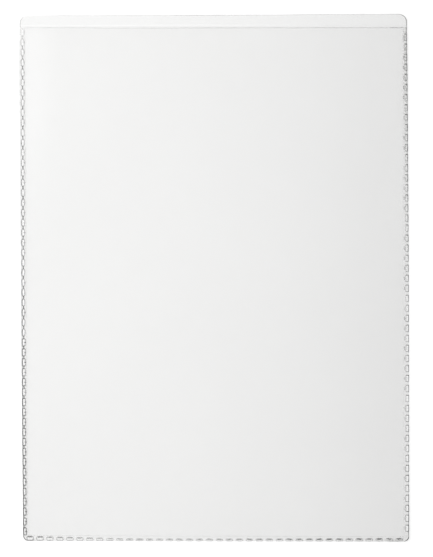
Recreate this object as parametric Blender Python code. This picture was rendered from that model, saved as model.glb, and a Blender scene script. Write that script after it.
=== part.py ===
"""Clear badge sleeve: a tall back film and a shorter front film, fused along three edges.

The sleeve lies flat on its back. X runs across it, Y runs from the bottom weld to the mouth,
and Z runs through its thickness. The origin is the middle of the back face. All sizes are in metres.
"""

import math

import bmesh
import bpy

# Outline of the sleeve
SLEEVE_WIDTH = 0.1115
SLEEVE_LENGTH = 0.1515
LIP_HEIGHT = 0.0036
TOP_CORNER_RADIUS = 0.0024
BOTTOM_CORNER_RADIUS = 0.0015

# Films, and the air between them in an empty sleeve
FILM_THICKNESS = 0.0002
POCKET_GAP = 0.0003

# Fused border, and its clearance to the films that run into it
WELD_WIDTH = 0.00145
WELD_CLEARANCE = 0.0003

# Chain of raised links along the border
LINK_PITCH = 0.00287
LINK_MARGIN = 0.00017
LINK_CORNER_RADIUS = 0.00045
LINK_SLOPE = 0.0001
LINK_RISE = 0.0003

# Fineness of the rounded corners
CORNER_STEPS = 6
LINK_CORNER_STEPS = 2

# Places that the pieces share
WELD_THICKNESS = 2 * FILM_THICKNESS
BOTTOM_Y = -SLEEVE_LENGTH / 2
TOP_Y = SLEEVE_LENGTH / 2
MOUTH_Y = TOP_Y - LIP_HEIGHT
FILM_HALF_WIDTH = SLEEVE_WIDTH / 2 - WELD_WIDTH - WELD_CLEARANCE
FILM_BOTTOM_Y = BOTTOM_Y + WELD_WIDTH + WELD_CLEARANCE
FRONT_FILM_Z = FILM_THICKNESS + POCKET_GAP
CORNER_RUN = max(WELD_WIDTH, BOTTOM_CORNER_RADIUS) + LINK_MARGIN


def clear_scene():
    """Remove every object, so that the sleeve stands alone."""
    for item in list(bpy.data.objects):
        bpy.data.objects.remove(item, do_unlink=True)


def plastic(name, colour, roughness, alpha):
    """Return a plain plastic material."""
    material = bpy.data.materials.new(name)
    material.use_nodes = True
    shader = material.node_tree.nodes["Principled BSDF"]
    shader.inputs["Base Color"].default_value = (*colour, 1.0)
    shader.inputs["Roughness"].default_value = roughness
    shader.inputs["Metallic"].default_value = 0.0
    shader.inputs["Alpha"].default_value = alpha
    material.diffuse_color = (*colour, alpha)
    return material


def film_material(name):
    """Return clear, glossy soft film with a slight grey haze."""
    return plastic(name, (0.86, 0.86, 0.85), 0.18, 0.45)


def weld_material(name):
    """Return the greyer plastic of a fused and embossed border."""
    return plastic(name, (0.70, 0.70, 0.69), 0.30, 0.75)


def corner_arc(centre_x, centre_y, radius, start_angle):
    """Return the points of a quarter circle, anticlockwise from start_angle."""
    points = []
    for step in range(CORNER_STEPS + 1):
        angle = start_angle + math.pi / 2 * step / CORNER_STEPS
        points.append((centre_x + radius * math.cos(angle), centre_y + radius * math.sin(angle)))
    return points


def plate(outline, low_z, thickness):
    """Return a flat closed plate with the given outline."""
    mesh = bmesh.new()
    corners = [mesh.verts.new((x, y, low_z)) for x, y in outline]
    mesh.faces.new(corners)
    thicken(mesh, thickness)
    return mesh


def thicken(mesh, thickness):
    """Raise an open flat surface into a closed solid and return its upper faces."""
    grown = bmesh.ops.extrude_face_region(mesh, geom=mesh.faces[:])["geom"]
    raised = [part for part in grown if isinstance(part, bmesh.types.BMVert)]
    bmesh.ops.translate(mesh, verts=raised, vec=(0, 0, thickness))
    bmesh.ops.recalc_face_normals(mesh, faces=mesh.faces[:])
    return [part for part in grown if isinstance(part, bmesh.types.BMFace)]


def link_stations(run):
    """Return the ends of the link cells along a run that is centred on zero."""
    count = max(1, round(run / LINK_PITCH))
    return [run * (step / count - 0.5) for step in range(count + 1)]


def band(stations):
    """Return a flat, open band along X, with one cell between each two stations, and its rungs."""
    mesh = bmesh.new()
    rungs = []
    for x in stations:
        rungs.append([mesh.verts.new((x, side * WELD_WIDTH / 2, 0)) for side in (-1, 1)])
    for near, far in zip(rungs, rungs[1:]):
        mesh.faces.new((near[0], far[0], far[1], near[1]))
    return mesh, rungs


def add_corner(mesh, rung, side):
    """Join a rounded corner piece to an end of the bottom band; its short arm points to the mouth."""
    outer_x = side * SLEEVE_WIDTH / 2
    inner_x = outer_x - side * WELD_WIDTH
    low_y = -WELD_WIDTH / 2
    inner_y = low_y + WELD_WIDTH
    top_y = low_y + CORNER_RUN
    arc_x = outer_x - side * BOTTOM_CORNER_RADIUS
    arc = corner_arc(arc_x, low_y + BOTTOM_CORNER_RADIUS, BOTTOM_CORNER_RADIUS, math.pi)
    if side > 0:
        arc = [(2 * arc_x - x, y) for x, y in arc]
    outline = [(inner_x, inner_y), (inner_x, top_y), (outer_x, top_y), *arc]
    points = [mesh.verts.new((x, y, 0)) for x, y in outline]
    mesh.faces.new((rung[1], *points, rung[0]))


def is_link_cell(face):
    """Say whether an upper face of a band holds a link: such a cell has four corners, a corner piece more."""
    return len(face.verts) == 4


def link_foot(corners):
    """Return the foot points of a link with rounded corners, inside the four corners of its cell."""
    points = []
    for index, corner in enumerate(corners):
        to_last = (corners[index - 1] - corner).normalized()
        to_next = (corners[(index + 1) % len(corners)] - corner).normalized()
        centre = corner + (LINK_MARGIN + LINK_CORNER_RADIUS) * (to_last + to_next)
        for step in range(LINK_CORNER_STEPS + 1):
            angle = math.pi / 2 * step / LINK_CORNER_STEPS
            outward = -math.cos(angle) * to_next - math.sin(angle) * to_last
            points.append(centre + LINK_CORNER_RADIUS * outward)
    return points


def emboss_links(mesh, cells):
    """Raise one link with rounded corners and sloping sides in each cell of a band."""
    count = LINK_CORNER_STEPS + 1
    links = []
    for cell in cells:
        rim = list(cell.verts)
        foot = [mesh.verts.new(point) for point in link_foot([corner.co for corner in rim])]
        mesh.faces.remove(cell)
        for index, corner in enumerate(rim):
            arc = foot[index * count : (index + 1) * count]
            for near, far in zip(arc, arc[1:]):
                mesh.faces.new((corner, far, near))
            following = (index + 1) % len(rim)
            mesh.faces.new((corner, rim[following], foot[following * count], arc[-1]))
        links.append(mesh.faces.new(foot))
    mesh.normal_update()
    bmesh.ops.inset_individual(mesh, faces=links, thickness=LINK_SLOPE, depth=LINK_RISE)


def add_object(name, mesh, material, location, turn=0.0):
    """Make a named object from a finished mesh, at its place in the sleeve."""
    data = bpy.data.meshes.new(name)
    mesh.to_mesh(data)
    mesh.free()
    data.materials.append(material)
    item = bpy.data.objects.new(name, data)
    item.location = location
    item.rotation_euler = (0, 0, turn)
    bpy.context.scene.collection.objects.link(item)
    return item


def make_back_film():
    """Make the back film: the panel between the welds, and the full-width lip above the mouth."""
    half = SLEEVE_WIDTH / 2
    arc_y = TOP_Y - TOP_CORNER_RADIUS
    arc_x = half - TOP_CORNER_RADIUS
    shoulder_y = MOUTH_Y + WELD_CLEARANCE
    outline = [(-FILM_HALF_WIDTH, FILM_BOTTOM_Y), (FILM_HALF_WIDTH, FILM_BOTTOM_Y)]
    outline += [(FILM_HALF_WIDTH, shoulder_y), (half, shoulder_y)]
    outline += corner_arc(arc_x, arc_y, TOP_CORNER_RADIUS, 0)
    outline += corner_arc(-arc_x, arc_y, TOP_CORNER_RADIUS, math.pi / 2)
    outline += [(-half, shoulder_y), (-FILM_HALF_WIDTH, shoulder_y)]
    mesh = plate(outline, 0, FILM_THICKNESS)
    return add_object("back_film", mesh, film_material("clear_back_film"), (0, 0, 0))


def make_front_film():
    """Make the front film, with its origin on the line at the bottom weld that it lifts about."""
    length = MOUTH_Y - FILM_BOTTOM_Y
    half = FILM_HALF_WIDTH
    outline = [(-half, 0), (half, 0), (half, length), (-half, length)]
    mesh = plate(outline, -FILM_THICKNESS / 2, FILM_THICKNESS)
    place = (0, FILM_BOTTOM_Y, FRONT_FILM_Z + FILM_THICKNESS / 2)
    return add_object("front_film", mesh, film_material("clear_front_film"), place)


def make_side_weld(name, side):
    """Make the fused border on one side, from the bottom border's corner up to the mouth."""
    low_y = BOTTOM_Y + CORNER_RUN + WELD_CLEARANCE
    mesh, _ = band(link_stations(MOUTH_Y - low_y))
    emboss_links(mesh, thicken(mesh, WELD_THICKNESS))
    place = (side * (SLEEVE_WIDTH - WELD_WIDTH) / 2, (MOUTH_Y + low_y) / 2, 0)
    return add_object(name, mesh, weld_material(f"fused_{name}"), place, math.pi / 2)


def make_bottom_weld():
    """Make the fused border along the bottom, with its two rounded corners."""
    mesh, rungs = band(link_stations(SLEEVE_WIDTH - 2 * CORNER_RUN))
    add_corner(mesh, rungs[0], -1)
    add_corner(mesh, rungs[-1], 1)
    upper = thicken(mesh, WELD_THICKNESS)
    emboss_links(mesh, [face for face in upper if is_link_cell(face)])
    place = (0, BOTTOM_Y + WELD_WIDTH / 2, 0)
    return add_object("bottom_weld_seam", mesh, weld_material("fused_bottom_weld_seam"), place)


def main():
    """Build the sleeve, piece by piece, under one empty."""
    clear_scene()
    sleeve = bpy.data.objects.new("badge_sleeve", None)
    bpy.context.scene.collection.objects.link(sleeve)
    pieces = [
        make_back_film(),
        make_side_weld("left_weld_seam", -1),
        make_side_weld("right_weld_seam", 1),
        make_bottom_weld(),
        make_front_film(),
    ]
    for piece in pieces:
        piece.parent = sleeve


main()
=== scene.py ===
"""Clear badge sleeve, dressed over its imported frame.

Two films of soft clear plastic lie on a white floor. Both melt into a fused border on three sides, which
carries a chain of small embossed links. The taller back film stands out above the mouth as a lip.
Sizes are in metres. X runs across the sleeve, Y runs up to the mouth, and Z runs out of the front film.
"""

from __future__ import annotations

import logging
import math
from dataclasses import dataclass
from enum import Enum, IntEnum
from typing import Any

import bmesh
import bpy
from mathutils import Matrix, Vector
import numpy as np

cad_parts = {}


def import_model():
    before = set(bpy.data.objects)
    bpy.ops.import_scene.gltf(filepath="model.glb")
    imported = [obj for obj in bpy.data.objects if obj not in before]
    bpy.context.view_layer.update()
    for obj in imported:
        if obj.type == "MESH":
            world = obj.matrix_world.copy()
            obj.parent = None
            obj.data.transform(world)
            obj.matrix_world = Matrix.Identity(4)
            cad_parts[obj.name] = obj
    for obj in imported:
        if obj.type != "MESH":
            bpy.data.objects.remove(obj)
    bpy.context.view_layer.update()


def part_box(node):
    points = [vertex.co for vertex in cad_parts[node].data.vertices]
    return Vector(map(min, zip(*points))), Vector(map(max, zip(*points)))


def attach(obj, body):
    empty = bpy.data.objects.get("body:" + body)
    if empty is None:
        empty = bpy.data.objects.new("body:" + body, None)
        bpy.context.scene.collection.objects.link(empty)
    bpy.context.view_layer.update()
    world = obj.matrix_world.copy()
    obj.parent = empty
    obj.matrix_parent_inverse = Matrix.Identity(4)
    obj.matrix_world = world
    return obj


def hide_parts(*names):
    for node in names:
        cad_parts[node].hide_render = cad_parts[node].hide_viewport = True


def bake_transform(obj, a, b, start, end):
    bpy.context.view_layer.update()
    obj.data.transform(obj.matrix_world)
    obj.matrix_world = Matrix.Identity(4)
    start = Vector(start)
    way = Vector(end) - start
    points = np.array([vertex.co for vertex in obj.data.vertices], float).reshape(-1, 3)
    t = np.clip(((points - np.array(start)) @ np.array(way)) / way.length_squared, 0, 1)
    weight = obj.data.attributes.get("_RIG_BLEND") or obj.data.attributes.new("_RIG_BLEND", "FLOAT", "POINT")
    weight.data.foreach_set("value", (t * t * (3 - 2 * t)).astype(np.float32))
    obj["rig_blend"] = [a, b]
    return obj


LOG = logging.getLogger("badge_sleeve")

Colour = tuple[float, float, float, float]
Pair = tuple[float, float]
Point = tuple[float, float, float]
Grid = list[list[Point]]
Stops = tuple[Pair, ...]

BLACK: Colour = (0.0, 0.0, 0.0, 1.0)
WHITE: Colour = (1.0, 1.0, 1.0, 1.0)
MIDDLE_TONE = 0.5
NOWHERE: Stops = ((0.0, 0.0), (1.0, 0.0))
EVERYWHERE: Stops = ((0.0, 1.0), (1.0, 1.0))


class Layer(Enum):
    """The finishes that one welded seam carries, as numbers that its faces hold."""

    BAND = 0.0
    CUT_EDGE = 1.0
    BEAD = 2.0
    PILLOW = 3.0
    KNOT = 4.0
    TICK = 5.0

    @property
    def label(self) -> str:
        """Name of the chain tree's input for this finish."""
        return f"{self.name.capitalize().replace('_', ' ')} finish"


class Draw(IntEnum):
    """Random draws of a chain, by number. A shape's turn takes its own number, and its length the next."""

    LINK_TONE = 0
    KNOT_TONE = 1
    TICK_CHOICE = 2
    OVAL = 6
    SQUARE = 8
    KNOT = 10
    TICK = 12


class Side(Enum):
    """The three welded edges, with the turn that points a link along each, the inside on its left."""

    LEFT = -math.pi / 2
    BOTTOM = 0.0
    RIGHT = math.pi / 2


def smooth_step(share: float) -> float:
    """Return an S-shaped rise from 0 to 1 for a share that is cut to that range."""
    share = min(1.0, max(0.0, share))
    return share * share * (3.0 - 2.0 * share)


def even_places(low: float, high: float, count: int) -> list[float]:
    """Return the places that cut a run into equal steps, with both its ends."""
    return [low + (high - low) * step / count for step in range(count + 1)]


def curve_through(first: Any, middle: Any, last: Any, share: Any) -> Any:
    """Return the value at a share of a run, on the smooth curve through its ends and its middle."""
    ends = first * (1.0 - share) * (1.0 - 2.0 * share) + last * share * (2.0 * share - 1.0)
    return ends + 4.0 * middle * share * (1.0 - share)


@dataclass
class Wire:
    """An output of a node. An expression on it adds Math nodes to the node's tree."""

    board: NodeBoard
    node: bpy.types.Node
    output: str = ""

    @property
    def socket(self) -> bpy.types.NodeSocket:
        """The node's socket: the named output, or else the first one in use."""
        return next(out for out in self.node.outputs if out.enabled and self.output in ("", out.name))

    def other(self, output: str) -> Wire:
        """Return another output of the same node."""
        return Wire(self.board, self.node, output)

    def _math(self, operation: str, first: Any, second: Any = 0.0) -> Wire:
        """Return the result of a Math node on two numbers or wires."""
        return self.board.add("ShaderNodeMath", {"operation": operation}, {0: first, 1: second})

    def __add__(self, other: Any) -> Wire:
        """Return this plus other."""
        return self._math("ADD", self, other)

    def __radd__(self, other: Any) -> Wire:
        """Return other plus this."""
        return self._math("ADD", other, self)

    def __sub__(self, other: Any) -> Wire:
        """Return this minus other."""
        return self._math("SUBTRACT", self, other)

    def __rsub__(self, other: Any) -> Wire:
        """Return other minus this."""
        return self._math("SUBTRACT", other, self)

    def __mul__(self, other: Any) -> Wire:
        """Return this times other."""
        return self._math("MULTIPLY", self, other)

    def __rmul__(self, other: Any) -> Wire:
        """Return other times this."""
        return self._math("MULTIPLY", other, self)

    def __truediv__(self, other: Any) -> Wire:
        """Return this over other."""
        return self._math("DIVIDE", self, other)

    def __rtruediv__(self, other: Any) -> Wire:
        """Return other over this."""
        return self._math("DIVIDE", other, self)

    def __pow__(self, other: Any) -> Wire:
        """Return this to the power of other."""
        return self._math("POWER", self, other)

    def __rpow__(self, other: Any) -> Wire:
        """Return other to the power of this."""
        return self._math("POWER", other, self)

    def __abs__(self) -> Wire:
        """Return this without its sign."""
        return self._math("ABSOLUTE", self)

    def sign(self) -> Wire:
        """Return 1 with the sign of this."""
        return self._math("SIGN", self)

    def floor(self) -> Wire:
        """Return the whole number at or below this."""
        return self._math("FLOOR", self)

    def at_most(self, other: Any) -> Wire:
        """Return the smaller of this and other."""
        return self._math("MINIMUM", self, other)

    def at_least(self, other: Any) -> Wire:
        """Return the larger of this and other."""
        return self._math("MAXIMUM", self, other)


class NodeBoard:
    """A node tree with one way to add a node and one way to feed a socket."""

    def __init__(self, tree: bpy.types.NodeTree) -> None:
        """Keep the tree."""
        self.tree = tree

    def add(
        self,
        kind: str,
        settings: dict[str, Any] | None = None,
        sockets: dict[int | str, Any] | None = None,
    ) -> Wire:
        """Add a node.

        Args:
            kind: The node's type name.
            settings: The node's own properties, or a ramp's stops, which are set first.
            sockets: Values or wires by the name or number of the input.

        Returns:
            The node's first output in use.
        """
        node = self.tree.nodes.new(kind)
        for name, value in (settings or {}).items():
            if name == "stops":
                self.set_stops(node.color_ramp, value)
            else:
                setattr(node, name, value)
        for key, value in (sockets or {}).items():
            self.feed(self.pick(node, key), value)
        return Wire(self, node)

    @staticmethod
    def set_stops(ramp: bpy.types.ColorRamp, stops: Stops) -> None:
        """Give a ramp its stops.

        Args:
            ramp: A new ramp.
            stops: A place and a grey level for each stop, in order.
        """
        while len(ramp.elements) < len(stops):
            ramp.elements.new(1.0)
        for element, (place, level) in zip(ramp.elements, stops):
            element.position = place
            element.color = (level, level, level, 1.0)

    @staticmethod
    def pick(node: bpy.types.Node, key: int | str) -> bpy.types.NodeSocket:
        """Return the input with that number, or the first one in use with that name."""
        named = (socket for socket in node.inputs if socket.enabled and socket.name == key)
        return node.inputs[key] if isinstance(key, int) else next(named)

    def feed(self, socket: bpy.types.NodeSocket, value: Any) -> None:
        """Link an input, or set its plain value.

        Args:
            socket: The input to feed.
            value: A wire, a list of wires or a plain value.
        """
        if isinstance(value, list):
            for wire in value:
                self.feed(socket, wire)
        elif isinstance(value, Wire):
            self.tree.links.new(value.socket, socket)
        else:
            socket.default_value = value

    def ramp(self, value: Wire, low: float, high: float) -> Wire:
        """Return a smooth rise from 0 at low to 1 at high."""
        sockets = {"Value": value, "From Min": low, "From Max": high}
        return self.add("ShaderNodeMapRange", {"interpolation_type": "SMOOTHSTEP"}, sockets)

    def fall(self, value: Wire, low: float, high: float) -> Wire:
        """Return a smooth fall from 1 at low to 0 at high."""
        return 1.0 - self.ramp(value, low, high)

    def tint(self, share: Wire, first: Any, second: Any) -> Wire:
        """Return a colour between two, by a share from 0 to 1."""
        return self.add("ShaderNodeMix", {"data_type": "RGBA"}, {"Factor": share, "A": first, "B": second})

    def vector(self, **axes: Any) -> Wire:
        """Return a vector from the axes that are given. The others are 0."""
        return self.add("ShaderNodeCombineXYZ", {}, axes)

    def axis(self, vector: Wire, name: str) -> Wire:
        """Return one axis of a vector."""
        return self.add("ShaderNodeSeparateXYZ", {}, {"Vector": vector}).other(name)


class FinishBoard(NodeBoard):
    """The node board of a new material, with the patterns that finishes are made from."""

    def __init__(self, name: str) -> None:
        """Make the material, empty but for the coordinates that its patterns sit on.

        Args:
            name: The material's name.
        """
        self.material = bpy.data.materials.new(name)
        self.material.use_nodes = True
        self.material.node_tree.nodes.clear()
        super().__init__(self.material.node_tree)
        self.place = self.add("ShaderNodeTexCoord").other("Object")

    def dress(self, sockets: dict[str, Any]) -> bpy.types.Material:
        """Give the material its shader.

        Args:
            sockets: Values or wires of the shader's inputs, by name.

        Returns:
            The finished material.
        """
        shader = self.add("ShaderNodeBsdfPrincipled", {}, sockets)
        self.add("ShaderNodeOutputMaterial", {}, {"Surface": shader})
        return self.material

    def attribute(self, name: str) -> Wire:
        """Return a number that the mesh carries."""
        return self.add("ShaderNodeAttribute", {"attribute_name": name}).other("Fac")

    def levels(self, value: Wire, stops: Stops) -> Wire:
        """Return a level that runs through the given stops."""
        return self.add("ShaderNodeValToRGB", {"stops": stops}, {"Fac": value})

    def noise(self, scale: float, detail: float = 1.0, place: Wire | None = None) -> Wire:
        """Return a pattern from 0 to 1 with that many patches for each metre."""
        sockets = {"Vector": place or self.place, "Scale": scale, "Detail": detail}
        return self.add("ShaderNodeTexNoise", {}, sockets)

    def flecks(self, scale: float) -> Wire:
        """Return a pattern about 0 with that many patches for each metre."""
        return self.noise(scale) - MIDDLE_TONE

    def stretched(self, turn: float, scale: Point) -> Wire:
        """Return the material's coordinates turned about Z and then stretched."""
        sockets = {"Vector": self.place, "Rotation": (0.0, 0.0, turn), "Scale": scale}
        return self.add("ShaderNodeMapping", {}, sockets)

    def bump(self, height: Wire, strength: float, depth: float) -> Wire:
        """Return a normal that follows a height pattern."""
        return self.add("ShaderNodeBump", {}, {"Height": height, "Strength": strength, "Distance": depth})


@dataclass(frozen=True)
class ClearPlastic:
    """Soft clear plastic, which veils a share of what lies behind it and turns glossy at a slant.

    Its broad patches run from the pale colour to the deep one, and scales count patches for each metre.
    """

    name: str
    veil: float
    pale: Colour = (0.50, 0.50, 0.4875, 1.0)
    deep: Colour = (0.47, 0.47, 0.4575, 1.0)
    unevenness: float = 0.04
    patch_scale: float = 26.0
    bump_strength: float = 0.25
    bump_depth: float = 0.0006
    roughness: float = 0.16
    grain_scale: float = 1500.0
    grain_roughness: float = 0.10
    scratch_turn: float = 0.35
    scratch_stretch: Point = (40.0, 2200.0, 40.0)
    scratch_range: Pair = (0.70, 0.80)
    scratch_roughness: float = 0.08
    head_on_gloss: float = 0.02
    slant_power: float = 5.0

    def material(self) -> bpy.types.Material:
        """Make the finish's material.

        Returns:
            The new material.
        """
        board = FinishBoard(self.name)
        patches = board.noise(self.patch_scale)
        grain = board.noise(self.grain_scale, 0.0)
        hairs = board.noise(1.0, 0.0, board.stretched(self.scratch_turn, self.scratch_stretch))
        scratches = board.ramp(hairs, *self.scratch_range)
        rough = self.roughness + self.grain_roughness * grain + self.scratch_roughness * scratches
        return board.dress(
            {
                "Base Color": board.tint(patches, self.pale, self.deep),
                "Roughness": rough,
                "Alpha": self.with_gloss(board, self.cover(board, patches)),
                "Normal": board.bump(patches, self.bump_strength, self.bump_depth),
            }
        )

    def cover(self, board: FinishBoard, patches: Wire) -> Wire:
        """Return the share that the plastic hides square on, uneven by a broad soft pattern."""
        return self.veil * (1.0 - self.unevenness / 2 + self.unevenness * patches)

    def with_gloss(self, board: FinishBoard, veil: Wire) -> Wire:
        """Add the gloss that a smooth surface gains at a slant.

        Args:
            board: The material's node board.
            veil: The share that is hidden square on.

        Returns:
            The share that is hidden as seen.
        """
        facing = board.add("ShaderNodeLayerWeight").other("Facing")
        gloss = self.head_on_gloss + (1.0 - self.head_on_gloss) * facing**self.slant_power
        return 1.0 - (1.0 - veil) * (1.0 - gloss)


@dataclass(frozen=True)
class LippedFilm(ClearPlastic):
    """The back film's plastic, with painted highlights: a line along the lip and a strip by the left weld.
    """

    # Painted highlight: a clearer line along the lip, fading out towards the right
    glint_line_y: float = 0.0
    glint_line_width: float = 0.00030
    glint_line_share: float = 0.20
    glint_line_fade: Pair = (0.0, 0.045)
    # Painted highlight: a clearer strip by the upper left weld, for the lamp's reflection in the film
    lamp_sheen_x: Pair = (-0.0525, -0.0425)
    lamp_sheen_y: Pair = (0.004, 0.060)
    lamp_sheen_end: float = 0.001
    lamp_sheen_share: float = 0.17

    def cover(self, board: FinishBoard, patches: Wire) -> Wire:
        """Return the veil, thinned for painted highlights: a line on the lip and a strip by the left weld.

        Args:
            board: The material's node board.
            patches: A broad soft pattern.

        Returns:
            The share that is hidden square on.
        """
        plain = super().cover(board, patches)
        across, height = (board.axis(board.place, axis) for axis in "XY")
        # Painted highlights, made by thinning the veil: the lip line and the strip by the left weld
        in_line = board.fall(abs(height - self.glint_line_y), self.glint_line_width / 2, self.glint_line_width)
        painted_glint_line = in_line * board.fall(across, *self.glint_line_fade)
        below_line = board.fall(height, self.glint_line_y - self.lamp_sheen_end, self.glint_line_y)
        painted_lamp_sheen = board.fall(across, *self.lamp_sheen_x) * (board.ramp(height, *self.lamp_sheen_y) * below_line)
        return plain * (1.0 - self.glint_line_share * painted_glint_line) * (1.0 - self.lamp_sheen_share * painted_lamp_sheen)


@dataclass(frozen=True)
class EdgePlastic(ClearPlastic):
    """Clear plastic at a cut or a crease, painted dark grey as shade for the light that it bends away."""

    # Dark grey painted shade, for the light that a clear edge bends away
    pale: Colour = (0.24, 0.24, 0.235, 1.0)
    deep: Colour = (0.16, 0.16, 0.155, 1.0)


@dataclass(frozen=True)
class RimPlastic(EdgePlastic):
    """Cut edge of a film, whose veil follows its place across the sleeve."""

    half_width: float = 0.05575
    shares: Stops = EVERYWHERE
    fleck_scale: float = 90.0
    fleck_spread: float = 0.8
    mottle_scale: float = 1500.0
    mottle_spread: float = 3.0

    def cover(self, board: FinishBoard, patches: Wire) -> Wire:
        """Return the edge's veil.

        Args:
            board: The material's node board.
            patches: A broad soft pattern, which this finish doesn't follow.

        Returns:
            The share that is hidden square on.
        """
        across = board.axis(board.place, "X") / (2.0 * self.half_width) + 0.5
        share = board.levels(across, self.shares)
        mottle = share * board.flecks(self.mottle_scale)
        uneven = 1.0 + self.fleck_spread * board.flecks(self.fleck_scale) + self.mottle_spread * mottle
        return self.veil * share * uneven


@dataclass(frozen=True)
class SeamShadePlastic(EdgePlastic):
    """Melted plastic whose darkness follows how hard the hot tool pressed along the seam.

    Stops run from the chain's first link to its last. They give the shade, its shares on the outer and the
    inner side of a link, and how much of it is lost in small breaks. The veil is the least that it hides.
    """

    painted_shade: Stops = EVERYWHERE
    outer: Stops = EVERYWHERE
    inner: Stops = EVERYWHERE
    breaks: Stops = NOWHERE
    break_scale: float = 2000.0
    break_range: Pair = (0.46, 0.54)
    spread: float = 0.35
    darkest: float = 0.97

    def cover(self, board: FinishBoard, patches: Wire) -> Wire:
        """Return the veil of the pressed plastic.

        Args:
            board: The material's node board.
            patches: A broad soft pattern, which this finish doesn't follow.

        Returns:
            The share that is hidden square on.
        """
        across = board.attribute("across") * 0.5 + 0.5
        tone = board.attribute("tone") - MIDDLE_TONE
        along = board.attribute("along")
        outer = board.levels(along, self.outer)
        inner = board.levels(along, self.inner)
        gaps = board.ramp(board.noise(self.break_scale), *self.break_range)
        # Painted shade along the seam, shared between the outer and the inner side of each link
        shade_level = board.levels(along, self.painted_shade) * (outer + (inner - outer) * across)
        shade_level = shade_level * (1.0 - gaps * board.levels(along, self.breaks))
        shade_level = shade_level * (1.0 + self.spread * (tone + board.flecks(self.grain_scale)))
        return shade_level.at_least(self.veil).at_most(self.darkest)


@dataclass(frozen=True)
class BandPlastic(ClearPlastic):
    """The fused band: veiled like both films together, and melted clear inside each link.

    Stops run from the chain's first link to its last. They give how clear the links are inside, and how
    much the cut edge is darkened in specks.
    """

    links: int = 50
    pitch: float = 0.0029
    half_length: float = 0.0009
    half_width: float = 0.0004
    width_growth: float = 0.0
    least_width: float = 0.2
    outer_depth: Pair = (0.0002, 0.0002)
    bow: float = 0.0
    corner: float = 0.0003
    soft: float = 0.00008
    clearing: Stops = EVERYWHERE
    # Dark specks along the cut edge, by share of the run
    speckle_share: Stops = NOWHERE
    speckle_scale: float = 2100.0
    speckle_range: Pair = (0.48, 0.58)
    speckle_depth: Pair = (0.0005, 0.0016)

    def cover(self, board: FinishBoard, patches: Wire) -> Wire:
        """Return the band's veil, clear inside each link and darkened in specks along the cut edge.

        Args:
            board: The material's node board.
            patches: A broad soft pattern.

        Returns:
            The share that is hidden square on.
        """
        along = board.attribute("along")
        depth = board.attribute("depth")
        clear = self.inside_link(board, along, depth) * board.levels(along, self.clearing)
        flecks = board.ramp(board.noise(self.speckle_scale), *self.speckle_range)
        edge_speckle = board.levels(along, self.speckle_share) * flecks * board.fall(depth, *self.speckle_depth)
        return super().cover(board, patches) * (1.0 - clear) + edge_speckle

    def inside_link(self, board: FinishBoard, along: Wire, depth: Wire) -> Wire:
        """Find the rounded rectangle inside the nearest link.

        Args:
            board: The material's node board.
            along: Share of the chain's run.
            depth: Distance from the line of the sleeve's outline.

        Returns:
            1 inside the rectangle, and 0 outside.
        """
        last = self.links - 1.0
        count = along * last
        nearest = (count + 0.5).floor().at_least(0.0).at_most(last)
        off_centre = abs(count - nearest) * self.pitch
        reach = self.half_width * (1.0 + self.width_growth * along).at_least(self.least_width)
        first_depth, last_depth = self.outer_depth
        middle_depth = (first_depth + last_depth) / 2 + self.bow
        outer_side = curve_through(first_depth, middle_depth, last_depth, along)
        off_line = abs(depth - (outer_side + reach))
        past_end = (off_centre - (self.half_length - self.corner)).at_least(0.0)
        past_side = (off_line - reach + self.corner).at_least(0.0)
        outside = (past_end**2.0 + past_side**2.0) ** 0.5
        return board.fall(outside, self.corner - self.soft, self.corner + self.soft)


def lay_object(name: str, shape: bmesh.types.BMesh, finishes: list[bpy.types.Material]) -> bpy.types.Object:
    """Turn a working shape into an object of the scene, and free it.

    Args:
        name: The object's name, and its mesh's.
        shape: Its shape, already in place.
        finishes: Materials for its slots, in order.

    Returns:
        The new object, at the origin.
    """
    mesh = bpy.data.meshes.new(name)
    shape.to_mesh(mesh)
    shape.free()
    for finish in finishes:
        mesh.materials.append(finish)
    piece = bpy.data.objects.new(name, mesh)
    bpy.context.scene.collection.objects.link(piece)
    return piece


def grid_slab(upper: Grid, lower: Grid) -> bmesh.types.BMesh:
    """Skin two matching grids of points into one closed slab.

    Args:
        upper: Rows of points on the upper face.
        lower: Rows of points on the lower face, matching the upper ones.

    Returns:
        The closed shape, with its faces outwards.
    """
    shape = bmesh.new()
    top = [[shape.verts.new(point) for point in row] for row in upper]
    bottom = [[shape.verts.new(point) for point in row] for row in lower]
    last_row = len(top) - 1
    last_column = len(top[0]) - 1
    for row in range(last_row):
        for column in range(last_column):
            for skin in (top, bottom):
                near, far = skin[row], skin[row + 1]
                shape.faces.new((near[column], near[column + 1], far[column + 1], far[column]))
    rim = [(0, column) for column in range(last_column)]
    rim += [(row, last_column) for row in range(last_row)]
    rim += [(last_row, column) for column in range(last_column, 0, -1)]
    rim += [(row, 0) for row in range(last_row, 0, -1)]
    posts = [(top[row][column], bottom[row][column]) for row, column in rim]
    for (near_top, near_bottom), (far_top, far_bottom) in zip(posts, posts[1:] + posts[:1]):
        shape.faces.new((near_top, far_top, far_bottom, near_bottom))
    bmesh.ops.recalc_face_normals(shape, faces=shape.faces[:])
    return shape


def quarter_arc(centre: Pair, radius: float, start: float, steps: int) -> list[Pair]:
    """Return the points of a quarter circle, anticlockwise from a start angle."""
    angles = even_places(start, start + math.pi / 2, steps)
    return [(centre[0] + radius * math.cos(a), centre[1] + radius * math.sin(a)) for a in angles]


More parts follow.
